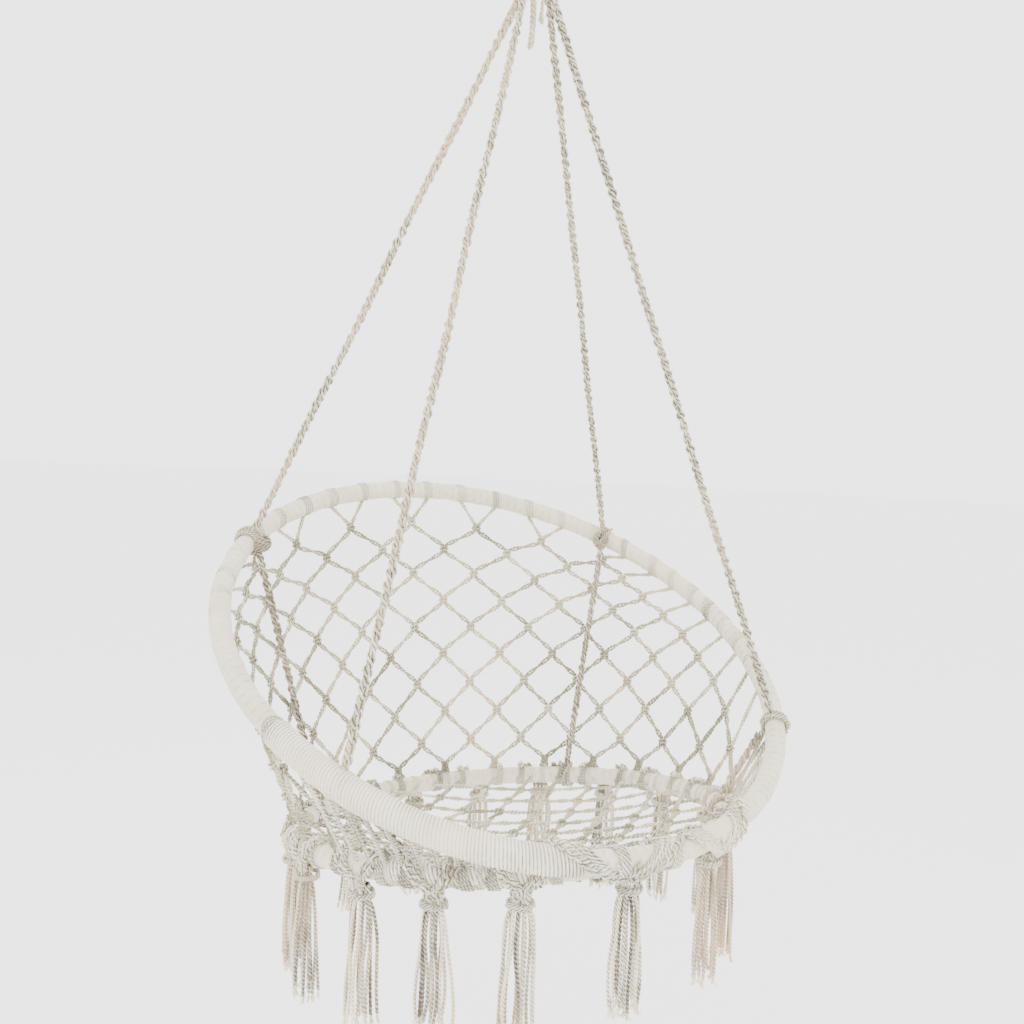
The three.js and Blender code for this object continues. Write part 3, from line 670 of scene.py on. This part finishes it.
def add_winding(ring, name):
    low, high = (math.radians(a) for a in ring.spec["bound"])
    pitch = ring.spec["pitch"]
    steps = int((high - low) * ring.radius / pitch * WINDING_STEPS)
    along = np.linspace(low, high, steps + 1)
    around = 2 * np.pi * np.arange(WINDING_SIDES) / WINDING_SIDES
    s = (along[:, None] - low) * ring.radius
    lean = WINDING_LEAN * np.sin(around)[None, :] + 0.0007 * np.sin(41 * along)[:, None]
    phase = (s + lean) / pitch + around[None, :] / (2 * np.pi)
    rib = np.abs(np.sin(np.pi * phase)) ** 0.6
    size = WINDING_RIB * (1 + 0.25 * np.sin(17 * along)[:, None])
    ends = np.clip(np.minimum(s, s.max() - s) / 0.006, 0, 1) ** 0.5
    wrap, binding = ring.spec["wrap"], ring.spec["binding"]
    reach = wrap + (binding - wrap - 0.0016) * ends + size * (rib - 0.2) * ends
    degrees = np.degrees(along)
    skein = Skein()
    # painted shade: the grooves between the wound ribs are darker than the ribs
    skein.grid(ring.tube(degrees, around, reach), 0.35 + 1.1 * (1 - rib) ** 1.5, s[:, 0] * GRAIN)
    return skein.build(name, WINDING_COTTON, "cord_binding")


for ring, label, body in ((back, "back", "chair"), (seat, "seat", "seat")):
    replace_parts(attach(add_sleeve(ring, f"{label}_ring_sleeve"), body), f"{label}_ring_wrap")
    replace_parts(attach(add_winding(ring, f"{label}_ring_winding"), body), f"{label}_ring_binding")


# ---- Square knots, shared by both nets. Each takes four cords: two fillers and two that tie round them.

LEFT_TIE = [(-4.6, -5.8, 0), (-3, -3.8, 1.8), (1, -2.8, 3.3), (4.8, -1.2, 1.4), (5.0, 0.6, -1.5),
            (0, 1.8, -3.3), (-4.4, 2.3, -1.2), (-4.6, 3.8, 0), (-4.6, 5.8, 0)]
RIGHT_TIE = [(4.6, -5.8, 0), (4.2, -3.8, -1.8), (-1, -2.9, -3.3), (-4.8, -1.2, -1.4), (-5.0, 0.6, 1.5),
             (0, 2.0, 3.3), (4.4, 2.5, 1.4), (4.6, 3.8, 0), (4.6, 5.8, 0)]
LEFT_FILLER = [(-1.7, -5.8, 0), (-1.7, 0, 0), (-1.7, 5.8, 0)]
RIGHT_FILLER = [(1.7, -5.8, 0), (1.7, 0, 0), (1.7, 5.8, 0)]
PORT_HEIGHT, INNER_PORT, OUTER_PORT = 5.8, 1.7, 4.6
CORNERS = [(side, end) for side in (-1, 1) for end in (-1, 1)]  # -1 is left or up, 1 right or down


class Knot:
    """A square knot's place and axes."""

    def __init__(self, place, across, down, out):
        self.place = np.asarray(place, float)
        self.across, self.out = unit(across), unit(out)
        self.axes = np.array([self.across, unit(down), self.out])

    def at(self, point):
        return self.place + KNOT_UNIT * np.asarray(point, float) @ self.axes

    def ports(self, side, top):
        """Where its two cords on that side leave it, the inner one first."""
        height = -PORT_HEIGHT if top else PORT_HEIGHT
        return self.at((side * INNER_PORT, height, 0)), self.at((side * OUTER_PORT, height, 0))

    def tie(self, skein, tone):
        for route in (LEFT_TIE, RIGHT_TIE, LEFT_FILLER, RIGHT_FILLER):
            skein.laid(spline(self.at(route), 0.0012), NET_CORD, self.out, tone=about(tone, 0.1))


def edge(skein, start, end, out, tone, eye=EYE_HALF):
    """A doubled cord between two knots: the pair part beside each knot and cross half way."""
    first, second = start
    last_a, last_b = end
    middle = (first + second) / 2
    run = (last_a + last_b) / 2 - middle
    across = unit(np.cross(out, unit(run)))
    if np.dot(first - second, across) < 0:
        first, second = second, first
    if np.dot(last_a - last_b, across) < 0:
        last_a, last_b = last_b, last_a
    flip = rng.choice((-1, 1))
    for begin, finish, hand in ((first, last_b, 1), (second, last_a, -1)):
        points = [begin]
        for share, width, lift in ((0.2, eye, 0), (0.5, 0, CROSS_LIFT), (0.8, -eye, 0)):
            points.append(middle + run * share + across * hand * width + out * (lift * flip * hand))
        points.append(finish)
        skein.laid(spline(points), NET_CORD, out, tone=about(tone, 0.1))


# ---- Back net

def ring_touch(half, row, side):
    """Angle on the back ring where a knot's cord on that side (1 right, -1 left) reaches it."""
    if row == 0:
        return 90 - RING_STEP * (half + 0.5 * side)
    right = SIDE_FIRST - SIDE_STEP * row
    return right if side > 0 else 180 - right


def net_point(degrees, share):
    """On the surface between the rings' skins: share 0 at the back ring, 1 at the seat ring."""
    top, foot = back.point(degrees), seat.point(degrees)
    down = unit(foot - top)
    near, far = back.skin(degrees), seat.skin(degrees)
    reach = np.linalg.norm(foot - top, axis=-1)
    return top + (near + share * (reach - near - far))[..., None] * down


def relaxed_lattice():
    """Each knot's angle and share of the way down, drawn level with its four neighbours by taut cord."""
    places = [(half, row) for row in range(NET_ROWS)
              for half in range(-TOP_HALF - row, TOP_HALF + row + 1, 2)]
    index = {place: i for i, place in enumerate(places)}
    pull = np.eye(len(places))
    held = np.zeros((len(places), 2))
    for (half, row), i in index.items():
        for side, end in CORNERS:
            other = (half + side, row + end)
            if other in index:
                pull[i, index[other]] -= 0.25
            elif end < 0:
                held[i] += (0.25 * ring_touch(half, row, side), 0)
            else:
                held[i] += (0.25 * (90 - GATHER_STEP * (half + side)), 0.25)
    return index, np.linalg.solve(pull, held)


class Lattice:
    def __init__(self):
        self.index, self.spots = relaxed_lattice()
        self.places = net_point(self.spots[:, 0], self.spots[:, 1])
        self.places = self.places + rng.uniform(-1, 1, self.places.shape) * NET_STRAY
        self.knots = {place: self.knot(*place) for place in self.index}

    def place(self, half, row, side):
        """Where a cord that leaves knot (half - side) towards (half, row) arrives."""
        if (half, row) in self.index:
            return self.places[self.index[(half, row)]]
        if row >= NET_ROWS:
            return net_point(90 - GATHER_STEP * half, np.array(1.0))
        return net_point(ring_touch(half - side, row + 1, side), np.array(0.0))

    def knot(self, half, row):
        here = self.places[self.index[(half, row)]]
        above, below = (sum(unit(self.place(half + side, row + end, side) - here) for side in (-1, 1))
                        for end in (-1, 1))
        degrees, share = self.spots[self.index[(half, row)]]
        across = net_point(degrees - 1, share) - net_point(degrees + 1, share)
        out = unit(np.cross(across, net_point(degrees, share + 0.02) - net_point(degrees, share - 0.02)))
        down = unit(below - above)
        down = unit(down - np.dot(down, out) * out)
        return Knot(here, np.cross(down, out), down, out)


def hang_from_back_ring(skein, lashings, knot, degrees, side):
    """Two cords from a knot up to turns of cord on the back ring."""
    down = unit(net_point(degrees, np.array(0.2)) - back.point(degrees))
    top = back.point(degrees) + down * (back.skin(degrees) + 0.001)
    spread = 0.0012 * back.tangent(degrees)
    edge(skein, (top + spread, top - spread), knot.ports(side, top=True), knot.out,
         rng.uniform(0.3, 0.6), eye=0.0015)
    lift, cord, tone = BOLD_LASHING if degrees < BOLD_BELOW else PLAIN_LASHING
    centre, reach = back.point(about(degrees, 0.4)), back.skin(degrees) + lift
    lashings.turns(centre, back.tangent(degrees), down, reach, count=rng.choice((3, 4, 4)),
                   spacing=rng.uniform(0.0038, 0.0048), cord=cord, tone=tone + rng.uniform(0.0, 0.35),
                   lean=0.0012)


def gather_on_seat_ring(skein, lashings, lattice, half):
    """Cords from the two last knots, drawn into one neck and wound on the seat ring."""
    degrees = 90 - GATHER_STEP * half
    up = unit(back.point(degrees) - seat.point(degrees))
    foot = seat.point(degrees) + up * (seat.skin(degrees) + 0.0005)
    neck = foot + up * 0.011
    for side in (-1, 1):
        knot = lattice.knots.get((half + side, NET_ROWS - 1))
        if not knot:
            continue
        across = knot.across
        ends = [neck + up * 0.006 + across * side * away for away in (0.0016, 0.0052)]
        edge(skein, knot.ports(-side, top=False), ends, knot.out, rng.uniform(0.4, 0.8))
        for end, away in zip(ends, (0.0012, 0.0036)):
            points = [end, neck + across * side * away, foot + across * side * away * 1.8]
            skein.laid(spline(points), NET_CORD * 1.1, knot.out, tone=rng.uniform(0.6, 0.9))
    skein.turns(neck + up * 0.001, up, seat.out(degrees), 0.0050,
                count=2.5, spacing=0.0034, cord=0.0032, tone=0.7, lean=0.001)
    seat.wind(lashings, degrees, up, 0.0006, count=3, spacing=0.0038, cord=0.0021, tone=0.1, lean=0.0012)


def add_back_net():
    net, top_lashings, seat_lashings = Skein(), Skein(), Skein()
    lattice = Lattice()
    for (half, row), knot in lattice.knots.items():
        knot.tie(net, rng.uniform(0.35, 0.7))
        for side in (-1, 1):
            if (half + side, row - 1) not in lattice.index:
                hang_from_back_ring(net, top_lashings, knot, ring_touch(half, row, side), side)
            below = lattice.knots.get((half + side, row + 1))
            if below:
                edge(net, knot.ports(side, top=False), below.ports(-side, top=True), knot.out,
                     rng.uniform(0.35, 0.8))
    last = TOP_HALF + NET_ROWS
    for half in range(-last, last + 1, 2):
        gather_on_seat_ring(net, seat_lashings, lattice, half)
    piece = net.build("back_net_cords", NET_COTTON, "net_cord")
    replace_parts(piece, "back_net")
    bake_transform(piece)
    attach(top_lashings.build("back_ring_lashings", WINDING_COTTON, "cord_binding"), "chair")
    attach(seat_lashings.build("seat_ring_gathers", WINDING_COTTON, "cord_binding"), "seat")


add_back_net()


# ---- Seat net

def on_seat(x, y):
    """A point of the sagging seat net, from its place in the ring's plane."""
    share = (x * x + y * y) / SEAT_NET_REACH**2
    dip = SEAT_NET_SAG * max(0.0, 1 - share)
    return seat_middle + x * RIGHT + y * seat.fore - dip * seat.normal


def seat_knot(column, row):
    x, y = column * SEAT_SPACING[0] / 2, -row * SEAT_SPACING[1]
    if math.hypot(x, y) > SEAT_NET_REACH - SEAT_NET_MARGIN:
        return None
    place = on_seat(about(x, SEAT_STRAY), about(y, SEAT_STRAY))
    return Knot(place, RIGHT, -seat.fore, seat.normal)


def run_to_ring(place, heading):
    """Where a line in the ring's plane, from place along heading, meets the ring's skin."""
    flat = np.array([np.dot(place - seat_middle, RIGHT), np.dot(place - seat_middle, seat.fore)])
    way = np.array(heading) / math.hypot(*heading)
    b, c = np.dot(flat, way), np.dot(flat, flat) - SEAT_NET_REACH**2
    hit = flat + way * (-b + math.sqrt(b * b - c))
    return math.degrees(math.atan2(hit[1], hit[0]))


def add_seat_net():
    net, lashings = Skein(), Skein()
    reach = int(SEAT_NET_REACH / SEAT_SPACING[1]) + 1
    places = [(column, row) for row in range(-reach, reach + 1) for column in range(-reach, reach + 1)
              if (row + column) % 2 == 0]
    knots = {place: knot for place in places if (knot := seat_knot(*place))}
    for (column, row), knot in knots.items():
        knot.tie(net, rng.uniform(0.3, 0.8))
        for side, end in CORNERS:
            near = knot.ports(side, top=end < 0)
            other = knots.get((column + side, row + end))
            if other:
                if end > 0:
                    edge(net, near, other.ports(-side, top=True), knot.out, rng.uniform(0.3, 0.75))
                continue
            degrees = run_to_ring(knot.place, (side * SEAT_SPACING[0] / 2, -end * SEAT_SPACING[1]))
            touch = seat.surface(degrees, 188, 0.001)
            spread = 0.0015 * seat.tangent(degrees)
            edge(net, near, (touch + spread, touch - spread), knot.out, rng.uniform(0.3, 0.75))
            seat.wind(lashings, degrees, -seat.out(degrees), 0.0005,
                      count=2, spacing=0.0036, cord=0.0018, tone=0.1, lean=0.0012)
    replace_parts(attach(net.build("seat_net_cords", NET_COTTON, "net_cord"), "seat"), "seat_net")
    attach(lashings.build("seat_ring_lashings", WINDING_COTTON, "cord_binding"), "seat")


add_seat_net()


# ---- Ropes, their ties, and the steel ring

def add_tie(ring, degrees, name, node, body):
    """A rope's end wound on a ring; where the ring is bound with cord the binding covers its turns."""
    tie = Skein()
    covered = bool(ring.bound(degrees))
    reach = ring.skin(degrees) + (-0.0018 if covered else 0.0034)
    axis, out = ring.tangent(degrees), ring.out(degrees)
    tie.turns(ring.point(degrees), axis, out, reach,
              count=TIE_TURNS, spacing=TIE_CORD, cord=TIE_CORD, lean=0.001)
    if not covered:
        cross = unit(axis + 0.45 * ring.normal)
        tie.turns(ring.point(degrees) + 0.002 * ring.normal, cross, out, reach + 0.0022,
                  count=1.15, spacing=0.002, cord=0.0052, tone=0.35)
    if ring is back and 0 < degrees < 180:
        for lean in TIE_KNOT_LEANS:
            tie.turns(ring.surface(degrees, 165, 0.006), unit(ring.normal + lean * axis), out, 0.0115,
                      count=1.4, spacing=0.004, cord=0.0054, tone=0.7, lean=0.001)
    piece = tie.build(name, WINDING_COTTON if covered else ROPE_COTTON, "rope")
    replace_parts(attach(piece, body), node)


def rope_ends(node):
    """The middles of a CAD rope's upper and lower end."""
    low, high = (np.array(v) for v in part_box(node))
    co = np.array([v.co for v in frame["nodes"][node].data.vertices])
    return co[co[:, 2] > high[2] - ROPE_END].mean(0), co[co[:, 2] < low[2] + ROPE_END].mean(0)


def add_rope(label):
    ring_angle, seat_angle = ROPES[label]
    top, foot = rope_ends(f"rope_{label}")
    rope = Skein()
    reach_in = unit(foot - top)
    line = spaced([top - 0.004 * reach_in, foot + 0.017 * reach_in], 0.01)
    rope.plait(wobble(line, 0.0008, REAR, wave=0.3), ROPE_WIDTH, REAR)
    piece = rope.build(f"rope_{label}_plait", ROPE_COTTON, "rope")
    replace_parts(piece, f"rope_{label}")
    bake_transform(piece)
    add_tie(back, ring_angle, f"ring_tie_{label}_turns", f"ring_tie_{label}", "chair")
    add_tie(seat, seat_angle, f"seat_tie_{label}_turns", f"seat_tie_{label}", "seat")

    top, foot = rope_ends(f"lower_rope_{label}")
    way = unit(foot - top)
    lower = Skein()
    lower.plait(spaced([top - 0.006 * way, foot + 0.006 * way], 0.01), ROPE_WIDTH, REAR, tone=0.7)
    piece = lower.build(f"lower_rope_{label}_plait", ROPE_COTTON, "rope")
    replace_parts(piece, f"lower_rope_{label}")
    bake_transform(piece)


for label in ROPES:
    add_rope(label)


def add_steel_ring():
    """The hanging ring, with the bead of its weld."""
    low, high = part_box("hanging_ring")
    wire = (high[1] - low[1]) / 2
    radius = (high[0] - low[0]) / 2 - wire
    steps, sides = 160, 32
    turn = 2 * np.pi * np.arange(steps + 1) / steps
    bead = 1 + 0.10 * np.exp(-((turn - np.pi / 2 - 0.6) / 0.035) ** 2)
    around = 2 * np.pi * np.arange(sides) / sides
    out = turned(RIGHT, UP, turn)[:, None]
    section = (wire * bead)[:, None, None] * turned(out, -REAR, around)
    rings = box_middle("hanging_ring") + radius * out + section
    skein = Skein()
    skein.grid(rings, 0.5, turn * radius * GRAIN, capped=False)
    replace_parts(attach(skein.build("steel_ring", RING_STEEL, "steel"), "hanger"), "hanging_ring")


def add_hitch(label):
    """A rope loop round the hanging ring's wire, and the knot that closes it."""
    knot = box_middle(f"hitch_knot_{label}")
    lean = unit(np.array([knot[0], 0, knot[2] - STEEL_MIDDLE]))
    wire = STEEL_MIDDLE * UP + STEEL_RADIUS * lean
    loop = Skein()
    points = [knot - lean * 0.010 + 0.006 * REAR, wire + lean * 0.024 + 0.0075 * REAR]
    for angle in range(-10, 191, 25):
        a = math.radians(angle)
        points.append(wire + 0.011 * (math.cos(a) * REAR - math.sin(a) * lean))
    points += [wire + lean * 0.024 - 0.0075 * REAR, knot - lean * 0.010 - 0.006 * REAR]
    loop.plait(spline(points, 0.002), 0.0108, np.cross(lean, REAR), BRAID_PITCH)
    piece = loop.build(f"hitch_loop_{label}_rope", ROPE_COTTON, "rope")
    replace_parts(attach(piece, "hitch"), f"hitch_loop_{label}")
    ball = Skein()
    ball.turns(knot, lean, REAR, 0.0075, count=4, spacing=0.0060, cord=0.0070, lean=0.001)
    ball.turns(knot, unit(lean + 0.9 * REAR), RIGHT, 0.0085,
               count=1.6, spacing=0.004, cord=0.0064, tone=0.35)
    core = spline([knot - 0.012 * lean, knot, knot + 0.012 * lean], 0.004)
    ball.laid(core, 0.012, REAR, pitch=0.03, plies=3, sides=8, tone=0.6)
    piece = ball.build(f"hitch_knot_{label}_turns", ROPE_COTTON, "rope")
    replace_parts(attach(piece, "hitch"), f"hitch_knot_{label}")


add_steel_ring()
add_hitch("left")
add_hitch("right")


# ---- Front: cord that joins the two rings

def bridge(skein, back_degrees, seat_degrees, tone):
    """A doubled cord from the back ring's skin down to the seat ring's."""
    top, foot = back.point(back_degrees), seat.point(seat_degrees)
    down = unit(foot - top)
    tangent = back.tangent(back_degrees)
    away = unit(np.cross(down, tangent))
    if np.dot(away, back.out(back_degrees)) < 0:
        away = -away
    above, below = back.skin(back_degrees), seat.skin(seat_degrees)
    course = np.array([top + down * 0.5 * above,
                       top + down * (above + 0.002) + away * 0.003,
                       foot - down * (below + 0.002) + away * 0.003,
                       foot + away * (below + 0.0015)])
    for side in (-1, 1):
        skein.laid(spline(course + side * 0.0019 * tangent), 0.0040, away, tone=about(tone, 0.1))


def add_front_macrame(name, start, end, step, shift):
    """Criss-crossed cord between the rings where they draw together."""
    lattice = Skein()
    for degrees in np.arange(start, end, step):
        for way in (-1, 1):
            bridge(lattice, degrees, degrees + way * shift, rng.uniform(0.3, 0.7))
    piece = lattice.build(name, LASHING_COTTON, "cord_binding")
    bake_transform(piece)


def lash(skein, offset, width, count, tone):
    """Turns round both rings at once, seen from the side as a long oval."""
    b_angle = 270 + math.degrees(math.asin(offset / back.radius))
    s_angle = 270 + math.degrees(math.asin(offset / seat.radius))
    a, b = seat.point(s_angle), back.point(b_angle)
    a[0] = b[0] = seat_middle[0] + offset
    heading = unit(b - a)
    side = np.cross(RIGHT, heading)
    ends = ((a, seat.skin(s_angle) + 0.0038, 90), (b, back.skin(b_angle) + 0.0028, -90))
    outline = []
    for middle, reach, first in ends:
        for angle in np.linspace(first, first + 180, 13):
            t = math.radians(angle)
            outline.append(middle + reach * (math.cos(t) * heading + math.sin(t) * side))
    loop = np.array(outline + outline[:1])
    turns = np.vstack([loop[:-1]] * count + [loop[:1]])
    slide = np.linspace(-width / 2, width / 2, len(turns))[:, None] * RIGHT
    skein.laid(spline(turns + slide), 0.0036, RIGHT, tone=tone)


def add_front_lashings():
    for name, offset in (("left", -0.052), ("right", 0.018)):
        band = Skein()
        lash(band, offset, width=0.0135, count=4, tone=0.4)
        piece = band.build(f"front_lashing_{name}_turns", LASHING_COTTON, "cord_binding")
        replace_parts(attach(piece, "chair"), f"front_lashing_{name}")


add_front_macrame("front_macrame_left", 206, 252, step=4.2, shift=7)
add_front_macrame("front_macrame_right", 292, 331, step=4.6, shift=7)
add_front_lashings()


for node in ("back_ring_rod", "seat_ring_rod"):
    rod = frame["nodes"][node]
    rod.data.materials.clear()
    rod.data.materials.append(ROD_STEEL)


# ---- Floor and light

def add_floor():
    paper = Shader("floor", {"Roughness": 0.85})
    patches = paper.add("TexNoise", {"Scale": 3}, "Fac")
    paper.fill({"Base Color": paper.mix(patches, (0.93, 0.93, 0.925), (0.95, 0.95, 0.945))})
    mesh = bpy.data.meshes.new("floor")
    level, reach, corners = -2.1, 40.0, 64
    turn = [2 * math.pi * i / corners for i in range(corners)]
    rim = [(reach * math.cos(a), reach * math.sin(a), level) for a in turn]
    mesh.from_pydata(rim, [], [list(range(corners))])
    mesh.materials.append(paper.material)
    floor = add_object("floor", mesh)


def add_light(name, place, aim, size, power, colour=(1, 1, 1)):
    lamp = bpy.data.lights.new(name, "AREA")
    lamp.size = size
    lamp.energy = power
    lamp.color = colour
    light = add_object(name, lamp)
    light.location = place
    light.rotation_euler = (Vector(aim) - Vector(place)).to_track_quat("-Z", "Y").to_euler()


def add_world():
    world = bpy.data.worlds.new("studio")
    world.use_nodes = True
    sky = world.node_tree.nodes["Background"].inputs
    sky["Color"].default_value = (1, 1, 1, 1)
    sky["Strength"].default_value = 3.4
    bpy.context.scene.world = world


add_floor()
add_world()
chair_middle = tuple(seat_middle + 0.15 * UP)
add_light("key", (-2.6, -2.8, 1.2), chair_middle, size=2.2, power=90, colour=(1, 0.99, 0.97))
add_light("fill", (2.8, -1.6, 0.2), chair_middle, size=2.6, power=15)
add_light("back", (0.5, 3.0, 1.2), chair_middle, size=2.4, power=25)
